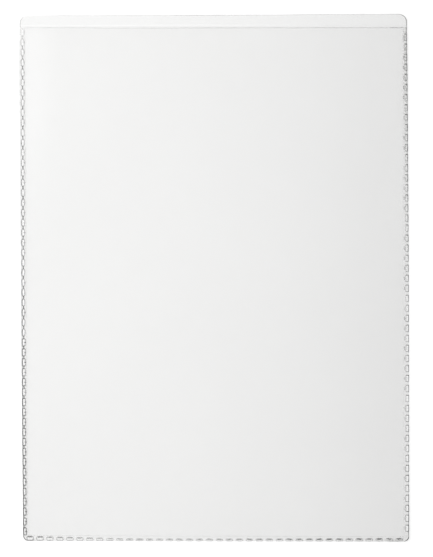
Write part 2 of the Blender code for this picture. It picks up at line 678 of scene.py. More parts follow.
@dataclass
class SleeveFrame:
    """Places that the pieces share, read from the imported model.

    The value film is a film's thickness, front_low is the height of the front film's lower face, and
    corner_run is how far the bottom weld turns up each side.
    """

    half_width: float
    bottom: float
    top: float
    mouth: float
    film: float
    front_low: float
    weld_width: float = 0.00145
    corner_run: float = 0.00167
    seam_gap: float = 0.00002

    @classmethod
    def read(cls) -> SleeveFrame:
        """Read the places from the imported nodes.

        Returns:
            The places of this pack.
        """
        back_low, back_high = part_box("back_film")
        front_low, front_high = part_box("front_film")
        weld_low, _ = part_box("bottom_weld_seam")
        return cls(
            half_width=back_high.x,
            bottom=weld_low.y,
            top=back_high.y,
            mouth=front_high.y,
            film=back_high.z - back_low.z,
            front_low=front_low.z,
        )

    @property
    def panel_half(self) -> float:
        """Half the films' width between the side welds."""
        return self.half_width - self.weld_width - self.seam_gap

    @property
    def panel_bottom(self) -> float:
        """Where the films meet the bottom weld."""
        return self.bottom + self.weld_width + self.seam_gap

    @property
    def band_top(self) -> float:
        """Upper face of the fused border, which is both films melted together."""
        return 2 * self.film


@dataclass
class BackFilm:
    """The tall back film, with the round-cornered lip above the mouth."""

    places: SleeveFrame
    corner_radius: float = 0.0024
    corner_steps: int = 10
    lip_rise: Pair = (0.00003, 0.00018)
    lip_step: Pair = (0.016, 0.030)
    step_points: int = 8
    right_inset: float = 0.0002
    rim: float = 0.00022
    # Height of the painted highlight line above the mouth
    glint_line_rise: float = 0.00064
    veil: float = 0.146
    rim_veil: float = 0.90
    # Dark grey of the lip's cut edge, painted as shade
    rim_pale: Colour = (0.40, 0.40, 0.39, 1.0)
    rim_deep: Colour = (0.30, 0.30, 0.29, 1.0)
    # How much painted shade the lip's cut edge takes, by place across the sleeve
    rim_shares: Stops = (
        (0.0, 0.40), (0.006, 0.33), (0.012, 0.06), (0.05, 0.12), (0.12, 0.18), (0.3, 0.20), (0.5, 0.30),
        (0.7, 0.22), (0.88, 0.24), (0.94, 0.24), (0.975, 0.30), (0.985, 0.45), (1.0, 1.0),
    )

    def build(self) -> bpy.types.Object:
        """Build the film as a closed sheet and hang it on the frame.

        Returns:
            The finished piece.
        """
        shape = bmesh.new()
        face = shape.faces.new([shape.verts.new((x, y, 0.0)) for x, y in self.outline()])
        face.normal_update()
        bmesh.ops.inset_region(
            shape, faces=[face], thickness=self.rim, use_boundary=True, use_even_offset=True
        )
        self.mark_rim(shape)
        grown = bmesh.ops.extrude_face_region(shape, geom=shape.faces[:])["geom"]
        raised = [part for part in grown if isinstance(part, bmesh.types.BMVert)]
        bmesh.ops.translate(shape, verts=raised, vec=(0.0, 0.0, self.places.film))
        bmesh.ops.recalc_face_normals(shape, faces=shape.faces[:])
        piece = lay_object("clear_back_film", shape, self.finishes())
        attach(piece, "sleeve")
        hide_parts("back_film")
        flat = (2 * self.places.half_width, self.places.top - self.places.bottom)
        return piece

    def outline(self) -> list[Pair]:
        """Draw the film's outline: the panel between the welds, then the full-width lip.

        Returns:
            The outline's points, anticlockwise.
        """
        places = self.places
        inner, low = places.panel_half, places.panel_bottom
        left, right = -places.half_width, places.half_width - self.right_inset
        left_top, right_top = (places.top + rise for rise in self.lip_rise)
        shoulder = places.mouth + places.seam_gap
        radius = self.corner_radius
        points = [(-inner, low), (inner, low), (inner, shoulder), (right, shoulder)]
        points += quarter_arc((right - radius, right_top - radius), radius, 0.0, self.corner_steps)
        for share in even_places(1.0, 0.0, self.step_points):
            x = self.lip_step[0] + (self.lip_step[1] - self.lip_step[0]) * share
            points.append((x, left_top + (right_top - left_top) * smooth_step(share)))
        points += quarter_arc((left + radius, left_top - radius), radius, math.pi / 2, self.corner_steps)
        return points + [(left, shoulder), (-inner, shoulder)]

    def mark_rim(self, shape: bmesh.types.BMesh) -> None:
        """Give the strip along the lip's cut edge the second finish.

        Args:
            shape: The flat film, with a strip of four-cornered faces round it.
        """
        for face in shape.faces:
            is_strip = len(face.verts) == 4
            on_lip = face.calc_center_median().y > self.places.mouth + self.rim
            face.material_index = int(is_strip and on_lip)

    def finishes(self) -> list[bpy.types.Material]:
        """Make the film's finish and its cut edge's.

        Returns:
            Both materials, in the order of the slots.
        """
        film = LippedFilm("back_film_plastic", self.veil, glint_line_y=self.places.mouth + self.glint_line_rise)
        colours = (self.rim_pale, self.rim_deep)
        rim = RimPlastic("lip_edge_plastic", self.rim_veil, *colours, shares=self.rim_shares)
        return [film.material(), rim.material()]


@dataclass
class FrontFilm:
    """The shorter front film, which rises from the welds and ends in the straight edge of the mouth."""

    places: SleeveFrame
    rise_run: float = 0.0028
    rise_shares: tuple[float, ...] = (0.0, 0.14, 0.3, 0.5, 0.72, 1.0)
    rim: float = 0.00026
    columns: int = 18
    rows: int = 24
    wave: float = 0.00004
    wave_across: Pair = (90.0, 0.6)
    wave_up: Pair = (62.0, 1.1)
    slant_wave: Pair = (130.0, 0.5)
    veil: float = 0.018
    pale: Colour = (0.61, 0.61, 0.597, 1.0)
    deep: Colour = (0.58, 0.58, 0.568, 1.0)
    rim_veil: float = 0.20
    # How much painted shade the mouth's cut edge takes, darker towards the right
    rim_shares: Stops = (
        (0.0, 0.30), (0.25, 0.37), (0.5, 0.48), (0.8, 0.55), (0.93, 0.62), (0.965, 1.0), (1.0, 1.0),
    )
    lay_gap: float = 0.000005
    mouth_lift: float = 0.00018
    lift_x: Pair = (-0.026, -0.046)
    lift_run: float = 0.006

    def build(self) -> bpy.types.Object:
        """Build the film as a closed sheet that bulges open while its sides stay on the welds.

        Returns:
            The finished piece.
        """
        across = self.stations(-self.places.panel_half, self.places.panel_half, True)
        up = self.stations(self.places.panel_bottom, self.places.mouth - self.rim, False)
        up.append(self.places.mouth)
        lower = [[(x, y + self.lift(x, y), self.height(x, y)) for x in across] for y in up]
        upper = [[(x, y, z + self.places.film) for x, y, z in row] for row in lower]
        shape = grid_slab(upper, lower)
        for face in shape.faces:
            face.smooth = True
            face.material_index = int(face.calc_center_median().y > self.places.mouth - self.rim)
        film = ClearPlastic("front_film_plastic", self.veil, self.pale, self.deep).material()
        # The mouth's cut edge takes the dark grey painted shade of the edge plastic
        rim = RimPlastic("mouth_edge_plastic", self.rim_veil, shares=self.rim_shares).material()
        piece = lay_object("clear_front_film", shape, [film, rim])
        self.hold_sides(piece)
        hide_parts("front_film")
        flat = (2 * self.places.half_width, self.places.mouth - self.places.bottom)
        return piece

    def stations(self, low: float, high: float, both_ends: bool) -> list[float]:
        """Return places from low to high that stand closer together next to a weld.

        Args:
            low: The first place, at a weld.
            high: The last place.
            both_ends: Whether the last place is at a weld as well.

        Returns:
            The places in order.
        """
        near = [self.rise_run * share for share in self.rise_shares]
        first = [low + step for step in near]
        last = [high - step for step in reversed(near)] if both_ends else [high]
        count = self.columns if both_ends else self.rows
        return first + even_places(first[-1], last[0], count)[1:-1] + last

    def lift(self, x: float, y: float) -> float:
        """Return how far the film is pulled up at a place, towards the mouth's left end.

        Args:
            x: Place across the sleeve.
            y: Place up the sleeve.

        Returns:
            The way up.
        """
        start, end = self.lift_x
        beside = smooth_step((x - start) / (end - start))
        below_mouth = self.places.mouth - self.rim - y
        return self.mouth_lift * beside * smooth_step(1.0 - below_mouth / self.lift_run)

    def height(self, x: float, y: float) -> float:
        """Return the height of the film's lower face at a place.

        Args:
            x: Place across the sleeve.
            y: Place up the sleeve.

        Returns:
            The height above the floor.
        """
        places = self.places
        side = smooth_step((places.panel_half - abs(x)) / self.rise_run)
        foot = smooth_step((y - places.panel_bottom) / self.rise_run)
        low = places.film + self.lay_gap
        wave = self.ripple(x, self.wave_across) * self.ripple(y, self.wave_up)
        slant_rate, slant_share = self.slant_wave
        wave += slant_share * math.sin((x + y) * slant_rate)
        return low + side * foot * (places.front_low - low + self.wave * wave)

    @staticmethod
    def ripple(place: float, wave: Pair) -> float:
        """Return a sine wave at a place, from its angle for each metre and its angle at 0."""
        return math.sin(place * wave[0] + wave[1])

    def hold_sides(self, piece: bpy.types.Object) -> None:
        """Let the middle follow the front panel while both sides stay with the sleeve.

        A blend runs from each weld to the middle, and the film keeps the lower of the two shares.

        Args:
            piece: The film, with no parent yet.
        """
        shares = []
        for side in (-1.0, 1.0):
            weld = (side * self.places.panel_half, 0.0, 0.0)
            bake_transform(piece, "sleeve", "front_panel", weld, (0.0, 0.0, 0.0))
            values = [0.0] * len(piece.data.vertices)
            piece.data.attributes["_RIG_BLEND"].data.foreach_get("value", values)
            shares.append(values)
        lower = [min(pair) for pair in zip(*shares)]
        piece.data.attributes["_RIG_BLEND"].data.foreach_set("value", lower)


class ChainTree(NodeBoard):
    """Geometry Nodes tree that embosses a chain of links along a fused band."""

    PLACES = ("First link", "Last link", "First knot", "Last knot", "Inward", "Drift")
    COUNTS = ("Links", "Seed")
    SIZES = (
        "Turn", "Link length", "Link width", "Width growth", "Least width", "Corner radius", "Oval length",
        "Ovals until", "Bead radius", "Bead rise", "Pillow height",
        "Knots from", "Knot length", "Knot radius", "Knot turn",
        "Tick share", "Tick length", "Tick radius", "Tick turn", "Tick offset", "Wobble", "Tick wobble",
    )
    RING_SIDES = 6
    BAR_SIDES = 5
    CORNER_POINTS = 2
    OVAL_POINTS = 14
    OVAL_FULLNESS = 0.42
    PILLOW_TOP = 0.72
    PILLOW_SINK = 0.5
    MERGE_DISTANCE = 0.000001
    DRAWS_PER_SEED = 20.0
    NUMBERS = {"data_type": "FLOAT"}

    def __init__(self) -> None:
        """Make the tree with its named inputs, and wire it."""
        super().__init__(bpy.data.node_groups.new("weld_chain", "GeometryNodeTree"))
        self.keys: dict[str, str] = {}
        self.take("Geometry", ("Band",))
        self.take("Vector", self.PLACES)
        self.take("Int", self.COUNTS)
        self.take("Float", self.SIZES)
        self.take("Material", tuple(layer.label for layer in Layer))
        self.tree.interface.new_socket("Seam", in_out="OUTPUT", socket_type="NodeSocketGeometry")
        self.given = self.add("NodeGroupInput")
        self.wire()

    def take(self, kind: str, names: tuple[str, ...]) -> None:
        """Give the tree inputs of one kind, and keep their identifiers.

        Args:
            kind: The kind of value that they take.
            names: The inputs' names.
        """
        for name in names:
            socket = self.tree.interface.new_socket(name, in_out="INPUT", socket_type=f"NodeSocket{kind}")
            self.keys[name] = socket.identifier

    def wire(self) -> None:
        """Join the band, the links, the knots and the ticks, then realize and dress them."""
        links = self.points("link", self.value("Links"), Draw.LINK_TONE)
        knots = self.points("knot", self.value("Links") - 1.0, Draw.KNOT_TONE)
        along = self.stored("along")
        is_oval = self.compare(along, "LESS_THAN", self.value("Ovals until"))
        is_square = self.compare(along, "GREATER_EQUAL", self.value("Ovals until"))
        is_knot = self.compare(along, "GREATER_EQUAL", self.value("Knots from"))
        is_tick = self.compare(self.random(0.0, Draw.TICK_CHOICE), "LESS_THAN", self.value("Tick share"))
        growth = (1.0 + self.value("Width growth") * along).at_least(self.value("Least width"))
        inner_side = self.value("Link width") * growth + self.value("Tick offset")
        oval, square = self.oval(), self.rectangle()
        knot, tick = self.crease(Layer.KNOT), self.crease(Layer.TICK)
        parts = [
            self.value("Band"),
            self.beads(links, oval, is_oval, growth, Draw.OVAL),
            self.beads(links, square, is_square, growth, Draw.SQUARE),
            self.spread(links, self.pillow(oval), is_oval, growth, Draw.OVAL),
            self.spread(links, self.pillow(square), is_square, growth, Draw.SQUARE),
            self.spread(knots, knot, is_knot, 1.0, Draw.KNOT),
            self.spread(self.shifted(links, inner_side), tick, is_tick, 1.0, Draw.TICK, "Tick wobble"),
        ]
        joined = self.add("GeometryNodeJoinGeometry", {}, {"Geometry": parts})
        seam = self.add("GeometryNodeRealizeInstances", {}, {"Geometry": joined})
        for layer in Layer:
            chosen = self.compare(self.stored("layer"), "EQUAL", layer.value)
            sockets = {"Geometry": seam, "Selection": chosen, "Material": self.value(layer.label)}
            seam = self.add("GeometryNodeSetMaterial", {}, sockets)
        self.add("NodeGroupOutput", {}, {"Seam": seam})

    def value(self, name: str) -> Wire:
        """Return a named input of the tree."""
        return self.given.other(name)

    def position(self, axis: str) -> Wire:
        """Return one axis of each point's place."""
        return self.axis(self.add("GeometryNodeInputPosition"), axis)

    def stored(self, name: str) -> Wire:
        """Return a number that the geometry carries under a name."""
        return self.add("GeometryNodeInputNamedAttribute", self.NUMBERS, {"Name": name})

    def store(self, geometry: Wire, name: str, value: Any, domain: str = "POINT") -> Wire:
        """Return geometry that carries a number under a name."""
        sockets = {"Geometry": geometry, "Name": name, "Value": value}
        return self.add("GeometryNodeStoreNamedAttribute", {**self.NUMBERS, "domain": domain}, sockets)

    def compare(self, first: Wire, operation: str, second: Any) -> Wire:
        """Return whether a comparison of two numbers holds."""
        settings = {**self.NUMBERS, "operation": operation}
        return self.add("FunctionNodeCompare", settings, {"A": first, "B": second})

    def random(self, low: float, draw: int) -> Wire:
        """Return a random number for each point, from low to 1, by the seed and the number of the draw."""
        seed = self.value("Seed") * self.DRAWS_PER_SEED + float(draw)
        return self.add("FunctionNodeRandomValue", self.NUMBERS, {"Min": low, "Max": 1.0, "Seed": seed})

    def moved(self, geometry: Wire, inward: Any, up: Any) -> Wire:
        """Return a shape that lies along X, moved away from the cut edge and up."""
        move = self.vector(Y=inward, Z=up)
        return self.add("GeometryNodeTransform", {}, {"Geometry": geometry, "Translation": move})

    def shifted(self, points: Wire, inward: Wire) -> Wire:
        """Move the seam's points away from its cut edge.

        Args:
            points: The points' geometry.
            inward: How far each goes.

        Returns:
            The moved points' geometry.
        """
        sockets = {"Vector": self.value("Inward"), "Scale": inward}
        move = self.add("ShaderNodeVectorMath", {"operation": "SCALE"}, sockets)
        return self.add("GeometryNodeSetPosition", {}, {"Geometry": points, "Offset": move})

    def points(self, kind: str, count: Wire, draw: Draw) -> Wire:
        """Set points along the seam, each with its share of the run and a tone of its own.

        Args:
            kind: What the points are for, as the names of the inputs for both ends say it.
            count: Number of points.
            draw: The random draw for the tones.

        Returns:
            The points' geometry.
        """
        ends = {"Start Location": self.value(f"First {kind}"), "Offset": self.value(f"Last {kind}")}
        settings = {"mode": "END_POINTS", "count_mode": "TOTAL"}
        line = self.add("GeometryNodeMeshLine", settings, {"Count": count, **ends})
        share = self.add("GeometryNodeInputIndex") / (self.value("Links") - 1.0)
        toned = self.store(self.store(line, "along", share), "tone", self.random(0.0, draw))
        first, middle, last = (self.axis(self.value("Drift"), axis) for axis in "XYZ")
        return self.shifted(toned, curve_through(first, middle, last, self.stored("along")))

    def rectangle(self) -> Wire:
        """Draw a link's outline with rounded corners.

        Returns:
            A closed curve.
        """
        sides = {"Width": self.value("Link length"), "Height": self.value("Link width")}
        box = self.add("GeometryNodeCurvePrimitiveQuadrilateral", {"mode": "RECTANGLE"}, sides)
        corners = {"Count": self.CORNER_POINTS, "Radius": self.value("Corner radius"), "Limit Radius": True}
        return self.add("GeometryNodeFilletCurve", {"mode": "POLY"}, {"Curve": box, **corners})

    def oval(self) -> Wire:
        """Draw a link's outline that narrows to a blunt point at both ends.

        Returns:
            A closed curve.
        """
        circle = self.circle(self.OVAL_POINTS, 1.0)
        x, y = self.position("X"), self.position("Y")
        x = x * self.value("Oval length") * 0.5
        y = y.sign() * abs(y) ** self.OVAL_FULLNESS * self.value("Link width") * 0.5
        sockets = {"Geometry": circle, "Position": self.vector(X=x, Y=y)}
        return self.add("GeometryNodeSetPosition", {}, sockets)

    def circle(self, points: int, radius: Any) -> Wire:
        """Return a circle as a closed curve."""
        return self.add("GeometryNodeCurvePrimitiveCircle", {}, {"Resolution": points, "Radius": radius})

    def sweep(self, curve: Wire, radius: Wire, sides: int, caps: bool) -> Wire:
        """Sweep a smooth round bead along a curve.

        Args:
            curve: The curve that it follows.
            radius: The bead's radius.
            sides: Number of faces round it.
            caps: Whether its ends are closed.

        Returns:
            The bead's geometry.
        """
        sockets = {"Curve": curve, "Profile Curve": self.circle(sides, radius), "Fill Caps": caps}
        tube = self.add("GeometryNodeCurveToMesh", {}, sockets)
        return self.add("GeometryNodeSetShadeSmooth", {}, {"Geometry": tube})

    def beads(self, points: Wire, outline: Wire, chosen: Wire, growth: Wire, draw: Draw) -> Wire:
        """Raise beads round the links on the chosen points, all of one thickness.

        Args:
            points: The links' points, on the line of their outer sides.
            outline: The closed curve that a bead follows, along X, with the pocket at +Y.
            chosen: Which points carry the bead.
            growth: Scale across the seam.
            draw: The first of the random draws.

        Returns:
            The beads' geometry.
        """
        half_width = self.value("Link width") * 0.5
        marked = self.store(outline, "across", self.position("Y") / half_width)
        placed = self.spread(points, self.moved(marked, half_width, 0.0), chosen, growth, draw)
        curves = self.add("GeometryNodeRealizeInstances", {}, {"Geometry": placed})
        bead = self.sweep(curves, self.value("Bead radius"), self.RING_SIDES, False)
        return self.store(self.moved(bead, 0.0, self.value("Bead rise")), "layer", Layer.BEAD.value, "FACE")

    def pillow(self, outline: Wire) -> Wire:
        """Fill a link's bead with a low closed pillow.

        Args:
            outline: The closed curve that the bead follows.

        Returns:
            The pillow's geometry, with its outer side on the X axis.
        """
        height = self.value("Pillow height")
        fill = self.add("GeometryNodeFillCurve", {"mode": "NGONS"}, {"Curve": outline})
        floor = self.moved(fill, self.value("Link width") * 0.5, height * -self.PILLOW_SINK)
        rise = {"Offset Scale": height * (1.0 + self.PILLOW_SINK), "Individual": False}
        grown = self.add("GeometryNodeExtrudeMesh", {"mode": "FACES"}, {"Mesh": floor, **rise})
        top = {"Selection": grown.other("Top"), "Scale": self.PILLOW_TOP}
        drawn_in = self.add("GeometryNodeScaleElements", {"domain": "FACE"}, {"Geometry": grown, **top})
        under = self.add("GeometryNodeFlipFaces", {}, {"Mesh": floor})
        joined = self.add("GeometryNodeJoinGeometry", {}, {"Geometry": [drawn_in, under]})
        sockets = {"Geometry": joined, "Distance": self.MERGE_DISTANCE}
        merged = self.add("GeometryNodeMergeByDistance", {}, sockets)
        return self.store(merged, "layer", Layer.PILLOW.value, "FACE")

    def crease(self, layer: Layer) -> Wire:
        """Make a knot or a tick: a short bead with closed ends, turned from the seam's line.

        Args:
            layer: The kind of crease, which its inputs and its finish are named for.

        Returns:
            The crease's geometry, centred on the origin.
        """
        sizes = ("length", "radius", "turn")
        length, radius, turn = (self.value(f"{layer.name.capitalize()} {size}") for size in sizes)
        ends = {"Start": self.vector(X=length * -0.5), "End": self.vector(X=length * 0.5)}
        line = self.add("GeometryNodeCurvePrimitiveLine", {"mode": "POINTS"}, ends)
        marked = self.store(line, "across", self.position("X") * 2.0 / length)
        bar = self.store(self.sweep(marked, radius, self.BAR_SIDES, True), "layer", layer.value, "FACE")
        return self.add("GeometryNodeTransform", {}, {"Geometry": bar, "Rotation": self.vector(Z=turn)})

    def spread(
        self, points: Wire, shape: Wire, chosen: Wire, growth: Any, draw: Draw, looseness: str = "Wobble"
    ) -> Wire:
        """Place a shape on the chosen points, each slightly off in turn and size.

        Args:
            points: The points' geometry.
            shape: The shape's geometry.
            chosen: Which points carry the shape.
            growth: Scale across the seam.
            draw: The first of the random draws.
            looseness: Name of the input that says how far off they are.

        Returns:
            The instances' geometry.
        """
        wobble = self.value(looseness)
        turned = self.value("Turn") + wobble * self.random(-1.0, draw)
        longer = 1.0 + wobble * self.random(-1.0, draw + 1)
        sockets = {
            "Points": points,
            "Selection": chosen,
            "Instance": shape,
            "Rotation": self.vector(Z=turned),
            "Scale": self.vector(X=longer, Y=growth, Z=1.0),
        }
        return self.add("GeometryNodeInstanceOnPoints", {}, sockets)


@dataclass
class WeldSeam:
    """One fused border: both films melted into a flat band, embossed with a chain of links.

    Depths are measured inwards from the sleeve's outline. Stops, and values that come in twos or threes for
    the length of the seam, run from the first link to the last.
    """

    side: Side
    node: str
    places: SleeveFrame
    links: int
    first_link: float
    last_link: float
    outer_depth: Pair
    link_width: float
    bead: SeamShadePlastic
    cut_edge: SeamShadePlastic
    knot: SeamShadePlastic
    tick: SeamShadePlastic
    clearing: Stops
    speckle_share: Stops
    seed: int

    # Line of the seam, and its cut edge
    drift: Point = (0.0, 0.0, 0.0)
    bow: float = 0.0
    scallop: float = 0.00006
    cut_strip: float = 0.00018
    stations_per_link: int = 6

    # Rounded corners at the ends of the bottom seam
    bottom_corner: float = 0.0015
    corner_steps: int = 10
    end_shift: Pair = (0.0, 0.0)

    # Links, ovals first and then rectangles
    ovals_until: float = 0.0
    oval_length: float = 0.00230
    link_length: float = 0.00182
    width_growth: float = 0.0
    least_width: float = 0.2
    corner_radius: float = 0.00022
    bead_radius: float = 0.00015
    bead_rise: float = 0.00005
    pillow_height: float = 0.00008
    wobble: float = 0.03

    # Knots, the creases between one link and the next
    knots_from: float = 0.0
    knot_step: float = 0.00143
    knot_across: float = 0.5
    knot_length: float = 0.00080
    knot_radius: float = 0.00017
    knot_turn: float = 0.0

    # Ticks, the creases at the inner side of some links
    tick_share: float = 0.75
    tick_offset: float = 0.00020
    tick_length: float = 0.00040
    tick_radius: float = 0.00010
    tick_turn: float = math.pi / 2
    tick_wobble: float = 0.03

    # Share that the band and the pillows hide
    band_veil: float = 0.168
    pillow_veil: float = 0.02

    @property
    def name(self) -> str:
        """The piece's name."""
        return f"{self.side.name.lower()}_chain_weld"

    @property
    def turn(self) -> float:
        """The turn that points a link along the seam."""
        return self.side.value

    @property
    def pitch(self) -> float:
        """Distance from link to link."""
        return abs(self.last_link - self.first_link) / (self.links - 1)

    def build(self, chain: ChainTree) -> bpy.types.Object:
        """Build the band, run the chain along it, and hang the seam on the frame.

        Args:
            chain: The shared tree that embosses the links.

        Returns:
            The finished piece.
        """
        piece = lay_object(self.name, self.band(), [])
        modifier = piece.modifiers.new("chain", "NODES")
        modifier.node_group = chain.tree
        for name, value in self.inputs().items():
            modifier[chain.keys[name]] = value
        depsgraph = bpy.context.evaluated_depsgraph_get()
        finished = bpy.data.meshes.new_from_object(piece.evaluated_get(depsgraph), depsgraph=depsgraph)
        piece.modifiers.remove(modifier)
        flat_band = piece.data
        piece.data = finished
        bpy.data.meshes.remove(flat_band)
        finished.name = self.name
        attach(piece, "sleeve")
        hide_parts(self.node)
        return piece

    def inputs(self) -> dict[str, Any]:
        """Gather the chain tree's inputs for this seam. A number comes from the field of the same name.

        Returns:
            The inputs' values, by name.
        """
        run = self.last_link - self.first_link
        to_knot = math.copysign(self.knot_step, run)
        past_knot = math.copysign(self.pitch - self.knot_step, run)
        first_depth, last_depth = self.outer_depth
        last_width = self.link_width * max(1.0 + self.width_growth, self.least_width)
        first_knot = first_depth + self.link_width * self.knot_across
        last_knot = last_depth + last_width * self.knot_across
        values: dict[str, Any] = {
            "First link": self.spot(self.first_link, first_depth),
            "Last link": self.spot(self.last_link, last_depth),
            "First knot": self.spot(self.first_link + to_knot, first_knot),
            "Last knot": self.spot(self.last_link - past_knot, last_knot),
            "Inward": (-math.sin(self.turn), math.cos(self.turn), 0.0),
            "Drift": (self.drift[0], self.drift[1] + self.bow, self.drift[2]),
        }
        for name in ChainTree.COUNTS + ChainTree.SIZES:
            values[name] = getattr(self, name.lower().replace(" ", "_"))
        for layer, finish in self.finishes().items():
            values[layer.label] = finish.material()
        return values

    def finishes(self) -> dict[Layer, ClearPlastic]:
        """Gather the seam's finishes. The band's has a clear place under each link.

        Returns:
            The finishes, by layer.
        """
        band = BandPlastic(
            f"{self.name}_band_plastic",
            self.band_veil,
            links=self.links,
            pitch=self.pitch,
            half_length=(self.oval_length if self.ovals_until else self.link_length) / 2,
            half_width=self.link_width / 2,
            width_growth=self.width_growth,
            least_width=self.least_width,
            outer_depth=self.outer_depth,
            bow=self.bow,
            clearing=self.clearing,
            speckle_share=self.speckle_share,
        )
        return {
            Layer.BAND: band,
            Layer.CUT_EDGE: self.cut_edge,
            Layer.BEAD: self.bead,
            Layer.PILLOW: ClearPlastic(f"{self.name}_pillow_plastic", self.pillow_veil),
            Layer.KNOT: self.knot,
            Layer.TICK: self.tick,
        }

    def spot(self, place: float, depth: float) -> Point:
        """Return a point on the band's upper face.

        Args:
            place: Its X on the bottom seam, or its Y on a side seam.
            depth: Its distance from the sleeve's outline.

        Returns:
            The point in the sleeve's frame.
        """
        if self.side is Side.BOTTOM:
            return place, self.places.bottom + depth, self.places.band_top
        return math.copysign(self.places.half_width - depth, self.turn), place, self.places.band_top

    def depth_of(self, point: Vector) -> float:
        """Return a point's distance from the sleeve's outline on this side."""
        from_side = self.places.half_width - abs(point.x)
        return point.y - self.places.bottom if self.side is Side.BOTTOM else from_side

    def band(self) -> bmesh.types.BMesh:
        """Build the flat band, in rows of three points from its cut edge inwards.

        Returns:
            The closed band, marked for the chain and the finishes.
        """
        runs = self.stations()
        upper: Grid = []
        for place in runs:
            edge, strip = self.edge_depth(place), self.edge_depth(place, self.cut_strip)
            depths = (edge, strip, self.inner_depth(place))
            upper.append([self.spot(self.sideways(place), depth) for depth in depths])
        lower = [[(x, y, 0.0) for x, y, _ in row] for row in upper]
        shape = grid_slab(upper, lower)
        self.mark_band(shape, runs, len(upper[0]))
        return shape

    def mark_band(self, shape: bmesh.types.BMesh, runs: list[float], columns: int) -> None:
        """Write each face's finish and each point's share of the seam's run into the band.

        Args:
            shape: The band, made from a grid of points for each face, the upper one first.
            runs: The places of its rows.
            columns: The number of points in a row.
        """
        layer = shape.faces.layers.float.new("layer")
        names = ("along", "depth", "tone", "across")
        along, depth, tone, across = (shape.verts.layers.float.new(name) for name in names)
        shape.verts.ensure_lookup_table()
        for index, vert in enumerate(shape.verts):
            place = runs[(index // columns) % len(runs)]
            vert[along] = self.share_at(place)
            vert[depth] = self.depth_of(vert.co) - self.drift_at(place)
            vert[tone] = MIDDLE_TONE
            vert[across] = 2.0 * self.corner_share(place) - 1.0
        for face in shape.faces:
            is_cut = all(vert.index % columns < columns - 1 for vert in face.verts)
            face[layer] = (Layer.CUT_EDGE if is_cut else Layer.BAND).value

    def share_at(self, place: float) -> float:
        """Return the share of the chain's run at a place along the seam."""
        return (place - self.first_link) / (self.last_link - self.first_link)

    def drift_at(self, place: float) -> float:
        """Return how far the seam's line wanders inwards at a place along the seam."""
        return curve_through(*self.drift, self.share_at(place))

    def past_corner(self, place: float) -> float:
        """Return how far a place lies past the start of a rounded corner, or less than 0 before it."""
        return self.bottom_corner - (self.places.half_width - abs(place))

    def corner_share(self, place: float) -> float:
        """Return 0 on the straight run, rising to 1 at the side end of a rounded corner."""
        share = self.past_corner(place) / self.bottom_corner
        return smooth_step(share) if self.side is Side.BOTTOM else 0.0

    def sideways(self, place: float) -> float:
        """Return a place on the seam, moved with the side seam that a rounded corner runs into."""
        inward = self.end_shift[0] if place < 0.0 else -self.end_shift[1]
        return place + inward * self.corner_share(place)

    def stations(self) -> list[float]:
        """Choose the places along the seam where the band has a row of points.

        Returns:
            The places, in the chain's direction.
        """
        places = self.places
        if self.side is not Side.BOTTOM:
            low = places.bottom + places.corner_run + places.seam_gap
            count = round((places.mouth - low) / self.pitch) * self.stations_per_link
            runs = even_places(low, places.mouth, count)
            return runs if self.side is Side.RIGHT else runs[::-1]
        angles = even_places(0.0, math.pi / 2, self.corner_steps)
        bends = [self.bottom_corner * (1.0 - math.cos(angle)) for angle in angles]
        notch = [self.cut_strip, places.weld_width - places.seam_gap, places.weld_width]
        ends = sorted(set(bends + notch))
        reach = places.half_width
        inner = reach - ends[-1]
        count = round(2 * inner / self.pitch) * self.stations_per_link
        middle = even_places(-inner, inner, count)[1:-1]
        return [-reach + end for end in ends] + middle + [reach - end for end in reversed(ends)]

    def edge_depth(self, place: float, strip: float = 0.0) -> float:
        """Return how far the cut edge, or a strip along it, reaches inside the sleeve's outline.

        Args:
            place: Place along the seam.
            strip: Width of the strip.

        Returns:
            The distance from the outline.
        """
        past = self.past_corner(place)
        if self.side is Side.BOTTOM and past > 0.0:
            radius = self.bottom_corner - strip
            return self.bottom_corner - math.sqrt(max(0.0, radius**2 - past**2))
        phase = 2 * math.pi * (place - self.first_link) / self.pitch
        return self.scallop * (1.0 - math.cos(phase)) / 2 + self.drift_at(place) + strip

    def inner_depth(self, place: float) -> float:
        """Return how far the band reaches inwards at a place along the seam."""
        from_side = self.places.half_width - abs(place) if self.side is Side.BOTTOM else math.inf
        return self.places.corner_run if from_side < self.places.weld_width else self.places.weld_width


